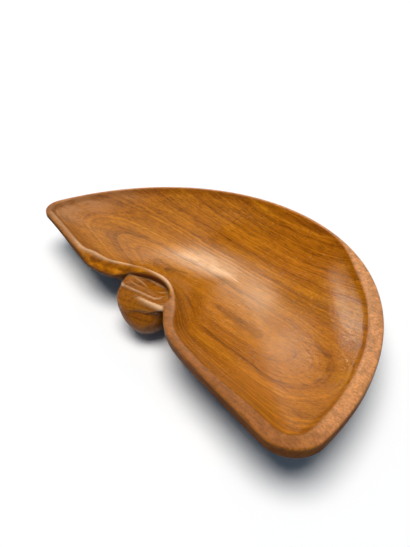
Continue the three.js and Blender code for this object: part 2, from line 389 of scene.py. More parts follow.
def inside_rules():
    """The hollow, from the rim's inner edge down to the middle of the floor."""
    def rule(part, inset, share, oval=FLOOR):
        def put(number):
            point = edge[number]
            within = inset + point.rim - RIM_WIDTH + 8 * point.sloped * smoothstep(part, 0, 0.34)
            drawn = lerp(share, 1, point.spoon * smoothstep(part, 0.15, 0.6))
            return ring_place(point, within, DISH_DEPTH * part, drawn, oval)
        return put
    rules = [rule(*row) for row in finer(INSIDE, 2)]
    for size in (0.75, 0.5, 0.25, 0.1):
        oval = (FLOOR[0], FLOOR[1], FLOOR[2] * size, FLOOR[3] * size)
        rules.append(rule(1 - 0.03 * size * size, 0, 1, oval))
    return rules


dish_rules = [*underside_rules(0), *rim_rules(0, RIM), *inside_rules()]
dish_skin = skin_over(EDGE_COUNT, dish_rules)
print("dish:", len(dish_skin.rings), "rings,", len(dish_skin.mesh.faces), "faces")

# %% [markdown]
# ## Traces of the hand
# A gouged and scraped hollow is never quite even: it still swells and dips by a few tenths of
# a millimetre. That is what breaks a window's reflection into streaks on the real dish. Bump
# alone could not bend a reflection so broadly. First the hollow is relaxed, which takes out the
# faint creases that run in from the corners, then every vertex moves a little along its normal
# by smooth noise.

# %% Relax the hollow and leave tool marks
RIM_RING = len(finer(UNDERSIDE, 2)) + len(RIM) - 1
KEPT_RINGS = 5  # rings below the rim's inner edge that stay as they are
RELAX_TIMES = 45
SWELL_FREQUENCY = 17.0
RIPPLE_FREQUENCY = Vector((34, 74, 74))


def relax(verts):
    for _ in range(RELAX_TIMES):
        bmesh.ops.smooth_vert(
            dish_skin.mesh, verts=verts, factor=0.5,
            use_axis_x=True, use_axis_y=True, use_axis_z=True,
        )


hollow = [vert for ring in dish_skin.rings[RIM_RING + KEPT_RINGS:-1] for vert in ring]
relax(hollow)


def roughened(bm, verts, swell, ripple):
    """Moves vertices along their normals by two sizes of smooth noise, in millimetres."""
    bmesh.ops.recalc_face_normals(bm, faces=bm.faces)
    bm.normal_update()
    for vert in verts:
        wide = noise.noise(vert.co * SWELL_FREQUENCY) * swell
        close = noise.noise(vert.co * RIPPLE_FREQUENCY) * ripple
        vert.co += vert.normal * (wide + close) * MM


roughened(dish_skin.mesh, hollow, swell=0.34, ripple=0.1)
print("hollow:", len(hollow), "vertices relaxed and roughened")

# %% [markdown]
# ## From a skin to a finished piece
# A grown skin is coarse and open at both ends. A finer skin could be grown at once, but one
# level of subdivision rounds it with less to say. The result is settled into the mesh, so that
# cuts and marks can follow it. Sawing, and clearing the cutters away, have helpers here too.

# %% Turn a skin into a finished object
def new_object(name, bm):
    mesh = bpy.data.meshes.new(name)
    bm.to_mesh(mesh)
    bm.free()
    piece = bpy.data.objects.new(name, mesh)
    bpy.context.scene.collection.objects.link(piece)
    return piece


def settle(piece):
    """Puts what the piece's modifiers make into its own mesh."""
    graph = bpy.context.evaluated_depsgraph_get()
    finished = bpy.data.meshes.new_from_object(piece.evaluated_get(graph))
    old = piece.data
    piece.modifiers.clear()
    piece.data = finished
    bpy.data.meshes.remove(old)
    finished.name = piece.name


def close_end(bm, loop):
    """Draws an open loop of edges together in its middle."""
    cap = bmesh.ops.extrude_edge_only(bm, edges=loop)["geom"]
    verts = [item for item in cap if isinstance(item, bmesh.types.BMVert)]
    middle = sum((vert.co for vert in verts), Vector()) / len(verts)
    bmesh.ops.pointmerge(bm, verts=verts, merge_co=middle)


def finished_skin(name, skin):
    """Rounds an open skin with one level of subdivision, then closes both of its ends. A point
    where hundreds of faces meet would be very slow to subdivide, so the ends are closed last."""
    piece = new_object(name, skin.mesh)
    rounder = piece.modifiers.new("rounder", "SUBSURF")
    rounder.levels = rounder.render_levels = 1
    settle(piece)
    bm = bmesh.new()
    bm.from_mesh(piece.data)
    open_sides = [side for side in bm.edges if side.is_boundary]
    heights = [side.verts[0].co.z for side in open_sides]
    between = (min(heights) + max(heights)) / 2
    lower = [side for side, height in zip(open_sides, heights) if height < between]
    upper = [side for side, height in zip(open_sides, heights) if height >= between]
    close_end(bm, lower)
    close_end(bm, upper)
    bmesh.ops.recalc_face_normals(bm, faces=bm.faces)
    bm.to_mesh(piece.data)
    bm.free()
    return piece


def cut(piece, *cutters):
    for cutter in cutters:
        saw = piece.modifiers.new("saw", "BOOLEAN")
        saw.operation = "DIFFERENCE"
        saw.solver = "EXACT"
        saw.object = cutter
        settle(piece)


def discard(*pieces):
    for piece in pieces:
        mesh = piece.data
        bpy.data.objects.remove(piece)
        bpy.data.meshes.remove(mesh)


dish = finished_skin("carved_dish", dish_skin)
print("dish after smoothing:", len(dish.data.polygons), "faces")

# %% [markdown]
# ## The grip
# The grip is a carved wedge that fills a hand. From above it has a ridge with a small hook at
# its end, a rounded shoulder beside it, and a shallow hollow between the ridge and the lip of
# the dish; below the shoulder a crease divides it from a smooth belly. It is grown the same way
# as the dish, in rings from the belly up. Each row says how far a ring reaches to the front,
# the sides and the back, and how deep it lies there.

# %% The rings of the grip
GRIP_X = -10.0
GRIP_Y = 36.0
GRIP_TURN = math.radians(20)
GRIP_COUNT = 96
GRIP_ROUNDING = 0.85  # 1 would make its rings ovals, and less makes them fuller
GRIP_ROWS = [  # front left, front right, side left, side right, back, drops left, right, back, rise
    (14, 15, 13, 14, 20, 56.4, 56.4, 56, 0),
    (24, 25, 20, 20, 40, 53.4, 53.4, 53, 0),
    (30.5, 32, 26, 25, 44, 48.4, 48.4, 48, 0),
    (34, 35.5, 31.5, 28, 44, 41.5, 41.5, 42, 0),
    (35, 35.5, 36, 29, 44, 35, 35, 36, 0),
    (34.5, 32, 40, 29, 44, 29, 28.5, 31, 0),
    (33.5, 25, 42, 29, 44, 25, 23.5, 27, 5),
    (32, 26.5, 43, 35, 44, 21.5, 21, 24, 6),
    (28.5, 25, 43, 38, 44, 18, 17, 21, 3.5),
    (23.5, 21.5, 43, 39, 44, 15, 12, 11.5, 0.8),
    (19, 18.5, 42.5, 38, 44, 13.2, 10.3, 8.8, 0),
    (14, 14, 42, 26, 42, 11.4, 12, 7.2, 0),
    (9.5, 9.5, 40.5, 18.5, 25, 10, 10, 9.8, 0),
    (5.5, 6, 36, 15.5, 20, 11.8, 12.6, 12, 0),
    (0, 1, 26, 11, 16, 14.4, 14.8, 14.6, 0),
]


def from_grip(x, y, drop):
    """A place given from the middle of the grip, with x along its ridge."""
    cos, sin = math.cos(GRIP_TURN), math.sin(GRIP_TURN)
    return place(GRIP_X + x * cos - y * sin, GRIP_Y + x * sin + y * cos, drop)


def grip_rule(row):
    """One ring of the grip, with its own reach to the front, the sides and the back."""
    front_left, front_right, side_left, side_right, back, drop_left, drop_right, drop_back, rise = row

    def rounded(value):
        return math.copysign(abs(value) ** GRIP_ROUNDING, value)

    def put(number):
        angle = 2 * math.pi * number / GRIP_COUNT
        across, along = rounded(math.cos(angle)), rounded(math.sin(angle))
        x = across * (side_left if across < 0 else side_right)
        rightness = smoothstep(x, -14, 4)
        y = along * (lerp(front_left, front_right, rightness) if along < 0 else back)
        front_drop = lerp(drop_left, drop_right, rightness) - rise * smoothstep(x, 6, 30)
        return from_grip(x, y, lerp(front_drop, drop_back, smoothstep(y, -4, 16)))
    return put


grip_skin = skin_over(GRIP_COUNT, [grip_rule(row) for row in finer(GRIP_ROWS, 3)])
print("grip:", len(grip_skin.mesh.faces), "faces")

# %% [markdown]
# ## The seat of the grip
# The real grip was pared until its back lay against the wall of the notch. A seat modelled by
# itself would never quite match that wall. So a copy of the dish's outside is grown from the
# same rows, larger by the glue line, and cut away from the grip.

# %% Cut the grip's seat to the dish
GLUE_LINE = 0.3
OUTER_ROWS = RIM[:7]  # the rows of the rim that the grip can touch

seat_rules = [*underside_rules(GLUE_LINE), *rim_rules(GLUE_LINE, OUTER_ROWS)]
seat_skin = skin_over(EDGE_COUNT, seat_rules)
seat_cutter = finished_skin("seat_cutter", seat_skin)
grip = finished_skin("carved_grip", grip_skin)
cut(grip, seat_cutter)
discard(seat_cutter)
print("grip after cutting:", len(grip.data.polygons), "faces")

# %% [markdown]
# ## Bores for the dowels
# Two pins hold the grip, out of sight, and they stay as they were measured. The bores could be
# left out, because nobody sees them, but then wood and pin would fill the same place. So both
# pieces are drilled where the dowels' boxes are.

# %% Bore the dish and the grip for the two dowels
BORE_GAP = 0.15  # glue line round a dowel
END_GAP = 0.3  # and at each of its ends


def drill(name):
    """A round cutter that fits a dowel, with its glue line."""
    low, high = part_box(name)
    middle = (low + high) / 2
    radius = (high.x - low.x) / 2 + BORE_GAP * MM
    length = high.y - low.y + 2 * END_GAP * MM
    bm = bmesh.new()
    turned = Matrix.Translation(middle) @ Matrix.Rotation(math.pi / 2, 4, "X")
    bmesh.ops.create_cone(
        bm, cap_ends=True, segments=32, radius1=radius, radius2=radius, depth=length, matrix=turned,
    )
    bmesh.ops.recalc_face_normals(bm, faces=bm.faces)
    return new_object("drill", bm)


drills = [drill(name) for name in ("dowel_left", "dowel_right")]
cut(grip, *drills)
cut(dish, *drills)
discard(*drills)
print("bored:", len(dish.data.polygons), "and", len(grip.data.polygons), "faces")

# %% [markdown]
# ## Knife strokes on the grip
# The ridge, its hook, the shoulder and the crease below it are sharper than rings of points can
# give, and fine flutes run through the hollow beside them. A carver cuts them last, when the
# grip fits its seat. So they come last here too: each vertex is raised or lowered by its
# distance to a few lines, and left alone close to the seat.

# %% Knife strokes
FLUTE_STEP = 7.6  # from one flute to the next
FLUTE_CREST = 9.8  # where one crest lies, behind the ridge
RIDGE = [(-41, -4, 12), (-36, -8.5, 11), (-20, -9.5, 10), (0, -9.5, 10), (12, -9, 10),
         (17, -5.5, 10.6), (15.5, -1, 11.5)]
SHOULDER = [(-8, -16.5, 12), (8, -18, 10.8), (29, -18, 10.3)]
CREASE = [(-27, -29, 25), (-12, -28, 22), (8, -26, 20), (18, -23, 17.5), (28, -19, 15)]


def to_grip(point):
    """The opposite of from_grip."""
    x, y, drop = plan(point)
    cos, sin = math.cos(GRIP_TURN), math.sin(GRIP_TURN)
    x, y = x - GRIP_X, y - GRIP_Y
    return Vector((x * cos + y * sin, y * cos - x * sin, drop))


def distance_to(path, point):
    """From a point to the nearest stretch of a path, in millimetres."""
    nearest = 1000.0
    for a, b in zip(path, path[1:]):
        foot, share = intersect_point_line(point, a, b)
        on_path = Vector(a).lerp(Vector(b), min(max(share, 0.0), 1.0))
        nearest = min(nearest, (point - on_path).length)
    return nearest


def bell(value, spread):
    """One at nothing, falling softly to almost none at twice the spread."""
    return math.exp(-((value / spread) ** 2))


def flute(point):
    """One on the crests between the flutes and minus one along their floors."""
    return math.cos(2 * math.pi * (point.y - FLUTE_CREST + 0.06 * point.x) / FLUTE_STEP)


def knife_work(point):
    """How far a point of the grip is raised or cut in, in millimetres: for each line a height
    or depth, times a bell of the distance to it."""
    to_ridge = distance_to(RIDGE, point)
    raised = 1.5 * bell(to_ridge, 1.8) * smoothstep(point.x, -43, -30)
    raised -= 0.7 * bell(to_ridge - 4.2, 1.7)
    raised += 1.4 * bell(distance_to(SHOULDER, point), 4.5)
    raised -= 0.9 * bell(distance_to(CREASE, point), 1.2)
    inside = smoothstep(point.y, -3, 2) * smoothstep(point.x, -34, -22)
    return raised + 0.6 * flute(point) * inside


def painted_highlight(vert):
    """Where painted highlights go on the grip's high edges: the ridge, the shoulder and the crests of
    the flutes.
    """
    point = to_grip(vert.co)
    ridge = 0.9 * bell(distance_to(RIDGE, point), 1.4) * smoothstep(point.x, -46, -34)
    shoulder = bell(distance_to(SHOULDER, point), 3.0) * smoothstep(point.x, -12, 6)
    strokes = 0.3 * max(0.0, flute(point)) ** 2 * smoothstep(point.y, 0, 4)
    return max(ridge, shoulder, strokes * smoothstep(point.x, -40, -28))


def carve(piece, rule, kept_off):
    """Moves vertices along their normals by a rule, except close to another piece."""
    tree = BVHTree.FromObject(kept_off, bpy.context.evaluated_depsgraph_get())
    bm = bmesh.new()
    bm.from_mesh(piece.data)
    bm.normal_update()
    for vert in bm.verts:
        gap = tree.find_nearest(vert.co)[3] / MM
        vert.co += vert.normal * rule(to_grip(vert.co)) * smoothstep(gap, 0.6, 2.5) * MM
    bm.to_mesh(piece.data)
    bm.free()


carve(grip, knife_work, dish)
print("grip carved:", [round(v * 1000, 1) for v in grip.dimensions], "mm")

# %% [markdown]
# ## Marks for the finishes and painted light
# The flat rim is dry and pale where hands and cloths have rubbed the oil away. The crest of the
# rim by the notch and the grip's high edges get painted highlights. The outside is dull and gets
# painted shade, darkest towards the bottom. Dirt and painted shade sit in the joint, and a
# painted shadow line runs under the edge. All this could be painted by hand. Here each vertex gets
# it as numbers worked out from the shape itself, so that they follow any change to it.

# %% Rules for the rim, the crest, the outside and the joint
# The crest by the notch gets a painted highlight. These say where it runs, where it is faintest and
# where it is broadest.
CREST_ENDS = (-250, 22)  # along x, at the left end and right of the notch
CREST_INSET = 1.8  # how far outside the rim's inner edge the crest runs
CREST_FADES = -47  # x where the crest is hardly rubbed, above the grip
CREST_WIDENS = -12  # x where it is broadest, at the turn beside the grip


def mark(piece, name, rule):
    """Gives every vertex of a piece a number from 0 to 1 that its material can read."""
    values = [rule(vert) for vert in piece.data.vertices]
    layer = piece.data.attributes.new(name, "FLOAT", "POINT")
    layer.data.foreach_set("value", values)
    return sum(values) / len(values)


def rim_share(vert):
    """Full on the flat rim, none on the oily lip beside the grip."""
    x, y, drop = plan(vert.co)
    lip = smoothstep(x, -112, -92) * (1 - smoothstep(x, -4, 22)) * (1 - smoothstep(y, 80, 95))
    flat = smoothstep(vert.normal.z, 0.45, 0.9) * (1 - smoothstep(drop, 0.8, 2.6))
    return flat * (1 - 0.95 * lip)


def joint_rule(other, reach):
    """Full where another piece touches, none farther off than the reach."""
    tree = BVHTree.FromObject(other, bpy.context.evaluated_depsgraph_get())

    def rule(vert):
        found = tree.find_nearest(vert.co, reach * MM)[3]
        return 0.0 if found is None else 1 - smoothstep(found / MM, 0.6, reach)
    return rule


def crest_highlight_rule(first_x, last_x, spread):
    """Full on a line along the rim's inner crest, where a painted highlight goes, from the left end
    to the right of the notch, fainter above the grip and broader beside it."""
    line = [
        ring_place(point, point.rim - CREST_INSET, 0.4, 0, FLOOR)
        for point in edge
        if point.y < NOTCH_DEPTH + 4 and first_x < point.x < last_x
    ]
    tree = KDTree(4 * len(line))
    for number, (a, b) in enumerate(zip(line, line[1:])):
        for quarter in range(4):
            if (b - a).length < 12 * MM:
                tree.insert(a.lerp(b, quarter / 4), 4 * number + quarter)
    tree.balance()

    def rule(vert):
        x = plan(vert.co)[0]
        ends = smoothstep(x, first_x, first_x + 30) * (1 - smoothstep(x, last_x - 25, last_x))
        ends *= 1 - 0.85 * bell(x - CREST_FADES, 17)
        ends *= 1 - 0.45 * smoothstep(-x, 60, 85)
        ends *= 1 - 0.5 * smoothstep(-x, 128, 165)
        broader = 1 + 1.4 * smoothstep(-x, 55, 110) + 0.6 * bell(x - CREST_WIDENS, 16)
        return ends * bell(tree.find(vert.co)[2] / MM, spread * broader)
    return rule


def outer_shade(vert):
    """Full where the outside turns down and under: it is dry and dull there, and painted shade
    darkens it, most towards the bottom.
    """
    return 1 - smoothstep(vert.normal.z, 0.1, 0.5)


def shadow_line_under_rim(vert):
    """A thin painted shadow line close under the rim's outer edge."""
    drop = plan(vert.co)[2]
    return bell(drop - 3.0, 0.9) * outer_shade(vert)


print("the painted crest highlight ends at x =", CREST_ENDS, "mm")

# %% [markdown]
# ## Marking both pieces
# Rubbing, dirt, painted highlights and painted shade have no hard edges, only more or less of
# each. A painted image would need the whole shape unfolded, and the meshes are fine enough for
# one number per vertex.

# %% Mark both pieces
print("rim share:", round(mark(dish, "rim", rim_share), 3))
print("painted crest highlight:", round(mark(dish, "painted_highlight", crest_highlight_rule(*CREST_ENDS, spread=1.5)), 4))
print("outside:", round(mark(dish, "outside", outer_shade), 3))
# dirt and painted shade where dish and grip meet, and a painted shadow line under the edge
near_grip = joint_rule(grip, reach=3)
dirt_and_shade = mark(dish, "joint", lambda vert: max(near_grip(vert), 0.8 * shadow_line_under_rim(vert)))
print("dirt on the dish:", round(dirt_and_shade, 4))
print("joint on the grip:", round(mark(grip, "joint", joint_rule(dish, reach=4.5)), 4))
print("handled edges:", round(mark(grip, "painted_highlight", painted_highlight), 4))

# %% [markdown]
# ## A short way to write shader nodes
# A wood needs dozens of nodes, and each takes several lines to add and wire up. These helpers
# add one node with its inputs given as numbers or as sockets of other nodes.

# %% Node helpers
class Nodes:
    def __init__(self, tree):
        self.nodes, self.links = tree.nodes, tree.links

    def add(self, kind, inputs=(), output=0, **settings):
        node = self.nodes.new("ShaderNode" + kind)
        for name, value in settings.items():
            setattr(node, name, value)
        for key, value in dict(inputs).items():
            self.feed(node.inputs[key], value)
        return node.outputs[output]

    def feed(self, socket, value):
        if isinstance(value, bpy.types.NodeSocket):
            self.links.new(value, socket)
        else:
            socket.default_value = value

    def math(self, operation, a, b=0.0, clamp=False):
        return self.add("Math", {0: a, 1: b}, operation=operation, use_clamp=clamp)

    def total(self, *values):
        return reduce(lambda a, b: self.math("ADD", a, b), values)

    def product(self, *values):
        return reduce(lambda a, b: self.math("MULTIPLY", a, b), values)

    def weighted(self, *pairs):
        return self.total(*[self.math("MULTIPLY", value, weight) for value, weight in pairs])

    def vector(self, operation, a, b):
        return self.add("VectorMath", {0: a, 1: b}, operation=operation)

    def dot(self, a, b):
        return self.add("VectorMath", {0: a, 1: b}, "Value", operation="DOT_PRODUCT")

    def fade(self, value, low, high, to_low=0.0, to_high=1.0):
        inputs = {"Value": value, "From Min": low, "From Max": high,
                  "To Min": to_low, "To Max": to_high}
        return self.add("MapRange", inputs, interpolation_type="SMOOTHSTEP")

    def noise(self, vector, scale, detail=3.0, roughness=0.5, output=0):
        inputs = {"Vector": vector, "Scale": scale, "Detail": detail, "Roughness": roughness}
        return self.add("TexNoise", inputs, output)

    def bands(self, value, scale, detail=3.0, roughness=0.5):
        inputs = {"W": value, "Scale": scale, "Detail": detail, "Roughness": roughness}
        return self.add("TexNoise", inputs, noise_dimensions="1D")

    def blend(self, share, a, b, how="MIX"):
        inputs = {0: share, 6: a, 7: b}
        return self.add("Mix", inputs, 2, data_type="RGBA", blend_type=how)

    def tint(self, color, by):
        return self.blend(1.0, color, by, "MULTIPLY")

    def grey(self, value):
        return self.add("CombineColor", {0: value, 1: value, 2: value})

    def mark(self, name):
        return self.add("Attribute", output="Fac", attribute_name=name)

    def split(self, vector):
        node = self.nodes.new("ShaderNodeSeparateXYZ")
        self.links.new(vector, node.inputs[0])
        return node.outputs

    def rays(self, *kinds):
        """One for the kinds of rays that are named, none for all others."""
        outputs = self.nodes.new("ShaderNodeLightPath").outputs
        wanted = [outputs["Is " + kind + " Ray"] for kind in kinds]
        return reduce(lambda a, b: self.math("MAXIMUM", a, b), wanted)

    def ramp(self, value, *stops):
        node = self.nodes.new("ShaderNodeValToRGB")
        elements = node.color_ramp.elements
        while len(elements) < len(stops):
            elements.new(0.5)
        for element, (position, color) in zip(elements, stops):
            element.position = position
            element.color = (*color, 1)
        self.links.new(value, node.inputs[0])
        return node.outputs[0]


def new_material(name):
    material = bpy.data.materials.new(name)
    material.use_nodes = True
    surface = material.node_tree.nodes["Principled BSDF"]
    return material, Nodes(material.node_tree), surface


print("node helpers are ready")

# %% [markdown]
# ## Oiled hardwood
# A tree grows in layers, and a carved hollow cuts through them, so the lines on this dish are
# the contours of those layers: long along the far wall and nested ovals on the floor. A flat
# picture of grain could not turn so. The material works out which layer each point lies in,
# from its own coordinates, and colours the layers by one-dimensional noise. Fibres, stretched
# along the board, lie over them.

# %% Layers of growth and fibres
LAYER_TILT = (-0.103, 0.746, 1.0)  # how the layers lean, per 100 mm
LAYER_BEND = (0.005, 0.668, 0.0)  # how they curve along and across the board
LAYER_TWIST = -0.13
FIBRE_SWING = (-0.15, 0.05, 0.15)  # how the fibres swing across the board, with x, xx, xy
WANDER = (0.07, 0.07, 0.05)  # how far the grain strays from its plan


class Grain:
    """Where each point lies in the tree, in units of 100 mm, and noises that follow it."""

    def __init__(self, n, turn):
        self.n = n
        own = n.add("TexCoord", output="Object")
        spot = n.add("Mapping", {"Vector": own, "Scale": (10, 10, 10), "Rotation": (0, 0, turn)})
        strayed = n.vector("SUBTRACT", n.noise(spot, 1.6, 3, output="Color"), (0.5, 0.5, 0.5))
        self.spot = n.vector("ADD", spot, n.vector("MULTIPLY", strayed, WANDER))
        self.x, self.y, self.z = n.split(self.spot)
        self.add_layers()
        self.add_fibres()

    def add_layers(self):
        n = self.n
        self.cross = n.product(self.x, self.y)
        lean = n.dot(self.spot, LAYER_TILT)
        bend = n.dot(n.vector("MULTIPLY", self.spot, self.spot), LAYER_BEND)
        self.layer = n.total(lean, bend, n.product(self.cross, LAYER_TWIST))
        self.fine = n.bands(self.layer, 24, 5, 0.65)
        self.broad = n.bands(self.layer, 5, 2)

    def add_fibres(self):
        n = self.n
        terms = n.add("CombineXYZ", {"X": self.x, "Y": n.product(self.x, self.x), "Z": self.cross})
        swing = n.add("CombineXYZ", {"Y": n.dot(terms, FIBRE_SWING)})
        self.along = n.vector("ADD", self.spot, swing)
        self.fibres = self.stretched(self.along, (0.7, 34, 34), 0.6, detail=5)
        self.streaks = self.stretched(self.along, (0.35, 8, 8), 0.5)
        self.pores = self.stretched(self.along, (7, 62, 62), 0.6)
        self.flecks = self.stretched(self.along, (34, 52, 52), 0.7)
        self.scratches = self.stretched(self.spot, (40, 16, 16), 0.7)

    def stretched(self, where, times, roughness, detail=3):
        """Noise that repeats so many times per 100 mm along each axis."""
        return self.n.noise(self.n.vector("MULTIPLY", where, times), 1, detail, roughness)


print("the layers lean", round(math.degrees(math.atan(LAYER_TILT[1])), 1), "degrees across the board")

# %% [markdown]
# ## Colours of the wood
# Oil brings out three tones in the layers, dark thin lines between some of them and open
# pores. Over them lie wear and painted light: a dry end, a pale rim with painted shade in front
# and a painted sheen at the back, painted highlights on the crest and the grip's edges, a dull
# outside with painted shade, and dirt with painted shade in the joint and under the edge. Images
# would stretch on a carved shape, so the tones come from the grain, and the wear and painted
# light come from the marks.

# %% Colours from the grain and from wear
REDDER = (0.88, 0.74, 1.2, 1)  # multiplies the colour in patches
DRY_END = (0.50, 0.26, 0.13, 1)
# the rim's two tones: painted shade in front, a painted sheen at the back
RIM_FRONT_SHADED = (0.31, 0.104, 0.026, 1)
RIM_BACK_SHEEN = (0.64, 0.275, 0.105, 1)
# painted highlight on the grip's high edges and on the rim's crest by the notch
HIGHLIGHT_PAINT = (0.98, 0.62, 0.34, 1)
# the dry, dull outside, darkened as painted shade
DULL_AND_SHADED = (0.16, 0.052, 0.015, 1)
# painted shade, darkest at the bottom of the outside
SHADED_FOOT = (0.06, 0.025, 0.011, 1)
# dirt and painted shade in the joint, and a painted shadow line under the rim's edge
DIRT_AND_SHADE = (0.24, 0.125, 0.050, 1)


def layered_color(n, grain, dark, middle, light):
    """Three tones of one wood in its layers and fibres, redder in patches."""
    tone = n.weighted(
        (grain.fine, 0.34), (grain.fibres, 0.26), (grain.broad, 0.22), (grain.streaks, 0.18),
    )
    color = n.ramp(tone, (0.39, dark), (0.5, middle), (0.61, light))
    redder = n.fade(n.noise(grain.spot, 0.9, 2), 0.42, 0.68, 0.0, 0.5)
    return n.blend(redder, color, n.tint(color, REDDER))


def lined_color(n, grain, color, far_side_shade):
    """Dark lines between layers, dark pores, and a slightly darker left end and far side, which are
    painted shade.
    """
    between = n.bands(n.total(grain.layer, 0.06), 11, 3, 0.6)
    scored = n.math("ABSOLUTE", n.math("SUBTRACT", between, 0.5))
    lines = n.math("MAXIMUM", n.fade(scored, 0.0, 0.022), n.fade(grain.streaks, 0.42, 0.62))
    lines = n.total(n.product(lines, 0.36), 0.64)
    specks = n.product(n.fade(grain.pores, 0.36, 0.52, 0.66), lines)
    # painted shade: a slightly darker far side and left end
    sides = n.product(n.fade(grain.y, -0.2, 0.9, 1.0, far_side_shade), n.fade(grain.x, -1.9, -0.9, 0.9))
    return n.tint(color, n.grey(n.product(specks, sides)))


def rim_color(n, grain):
    """Dry and pale with fine flecks. Darker in front and paler at the back, which are painted shade
    and a painted sheen.
    """
    mottle = n.fade(n.noise(grain.spot, 16, 4, 0.7), 0.32, 0.68, 0.66, 1.30)
    mottle = n.product(mottle, n.fade(grain.flecks, 0.36, 0.58, 0.74, 1.14))
    return n.tint(n.blend(n.fade(grain.y, -1.3, -0.8), RIM_FRONT_SHADED, RIM_BACK_SHEEN), n.grey(mottle))


def wear_and_painted_light(n, grain, color):
    """The dry left end, the rim with its painted shade and sheen, painted highlights on the crest and
    the grip's edges, the dull outside with painted shade, and dirt and painted shade in the joint
    and under the edge, over the wood.
    """
    dry = n.product(n.fade(grain.x, -2.5, -1.95, 0.5, 0.0), n.fade(grain.streaks, 0.4, 0.6, 0.5))
    color = n.blend(dry, color, DRY_END)
    color = n.blend(n.mark("rim"), color, n.blend(0.68, color, rim_color(n, grain)))
    # painted highlights on the crest by the notch and on the grip's high edges
    color = n.blend(n.math("MULTIPLY", n.mark("painted_highlight"), 0.9, clamp=True), color, HIGHLIGHT_PAINT)
    outside = n.mark("outside")
    # the dull outside with painted shade, and more painted shade towards the bottom
    color = n.blend(n.product(outside, 0.6), color, DULL_AND_SHADED)
    low = n.product(outside, n.fade(grain.z, 0.35, 0.62, 0.55, 0.0))
    color = n.blend(low, color, SHADED_FOOT)
    # dirt and painted shade in the joint, painted shadow under the edge
    return n.blend(n.product(n.mark("joint"), 0.65), color, DIRT_AND_SHADE)


print("highlight paint is", round(HIGHLIGHT_PAINT[0] / DULL_AND_SHADED[0], 1), "times as red as the dull outside")

# %% [markdown]
# ## Polish and relief
# Rubbed oil shines in the hollow, less on the dry rim, the outside and the left end, and a net
# of fine scratches dulls it. One roughness for all would look like plastic, so it is a sum of
# those parts. Fibres, pores and scratches are too fine for the mesh and become bump.

# %% Roughness, bump and the three woods
BUMP_STRENGTH = 0.22
BUMP_DISTANCE = 0.0005
OIL_REFLECTION = 0.35


def wood_roughness(n, grain, polish):
    corner = n.product(n.fade(grain.x, 1.0, 1.6), n.fade(grain.y, -0.7, -0.1, 0.2, 0.0))
    return n.total(
        n.product(n.noise(grain.spot, 2.2, 3), 0.10),
        n.fade(grain.scratches, 0.48, 0.64, 0.0, 0.08),
        n.product(n.mark("rim"), 0.22),
        n.product(n.mark("outside"), 0.5),
        n.fade(grain.x, -1.4, -0.8, 0.30, 0.0),
        n.fade(grain.x, 1.0, 1.5, 0.0, -0.08),
        corner,
        polish,
    )


def wood_relief(n, grain):
    """Fibres, pores and layers, and scratches that are deepest at the right end."""
    scratches = n.product(grain.scratches, n.fade(grain.x, 0.9, 1.4, 0.5, 3.0))
    height = n.total(n.weighted((grain.fibres, 0.5), (grain.pores, 0.5)), grain.fine, scratches)
    inputs = {"Strength": BUMP_STRENGTH, "Distance": BUMP_DISTANCE, "Height": height}
    return n.add("Bump", inputs)


def wood(name, dark, middle, light, polish, turn=0.0, far_side_shade=1.0):
    material, n, surface = new_material(name)
    grain = Grain(n, turn)
    color = lined_color(n, grain, layered_color(n, grain, dark, middle, light), far_side_shade)
    n.links.new(wear_and_painted_light(n, grain, color), surface.inputs["Base Color"])
    n.links.new(wood_roughness(n, grain, polish), surface.inputs["Roughness"])
    n.links.new(wood_relief(n, grain), surface.inputs["Normal"])
    surface.inputs["Specular IOR Level"].default_value = OIL_REFLECTION
    return material


dish_wood = wood(
    "dish_wood", dark=(0.27, 0.075, 0.002), middle=(0.49, 0.155, 0.003),
    light=(0.67, 0.240, 0.007), polish=0.15, far_side_shade=0.98,
)
grip_wood = wood(
    "grip_wood", dark=(0.20, 0.050, 0.002), middle=(0.35, 0.105, 0.003),
    light=(0.48, 0.165, 0.007), polish=0.15, turn=math.radians(-60),
)
dowel_wood = wood(
    "dowel_wood", dark=(0.42, 0.27, 0.12), middle=(0.55, 0.38, 0.19),
    light=(0.66, 0.48, 0.27), polish=0.40,
)
print("woods:", [m.name for m in (dish_wood, grip_wood, dowel_wood)])

# %% [markdown]
# ## Staying inside the measured boxes
# Tool marks and knife strokes push a few vertices a little past the box of their solid. The
# pieces could be shrunk, but then everything would move, so only those points are moved back.

# %% Keep the carved pieces inside their measured boxes
def trim_to_box(piece, node):
    low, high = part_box(node)
    moved = 0
    for vert in piece.data.vertices:
        inside = Vector([min(max(v, a), b) for v, a, b in zip(vert.co, low, high)])
        moved += (inside - vert.co).length > 0
        vert.co = inside
    return moved


print("vertices trimmed:", trim_to_box(dish, "dish"), "and", trim_to_box(grip, "grip"))

# %% [markdown]
# ## Pieces in the place of solids
# Dish and grip are each carved from one piece of wood, so each has one material. The measured
# solids could be coloured as they are, but they are too plain, so the carved pieces take their
# places. Only the hidden dowels stay solids. Shading is smooth except over sharp edges.

# %% Put the wood on and let the pieces ride
SHARP = math.radians(50)

for piece, material, node in ((dish, dish_wood, "dish"), (grip, grip_wood, "grip")):
    for polygon in piece.data.polygons:
        polygon.use_smooth = True
    piece.data.set_sharp_from_angle(angle=SHARP)
    piece.data.materials.clear()
    piece.data.materials.append(material)
    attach(piece, "root")
    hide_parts(node)
for name in ("dowel_left", "dowel_right"):
    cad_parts[name].data.materials.clear()
    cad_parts[name].data.materials.append(dowel_wood)
print("wood on:", dish.name, grip.name, "and two dowels")

# %% [markdown]
# ## The floor
# The picture has a white ground with a soft shadow close under the dish. A plain white sheet
# would throw too much light up at the wood. So the floor is white for the camera and in
# reflections, and grey for the light that it sends on.

# %% Floor
FLOOR_REACH = 40
WHITE = (1, 1, 1, 1)
FLOOR_GREY = (0.18, 0.18, 0.18, 1)

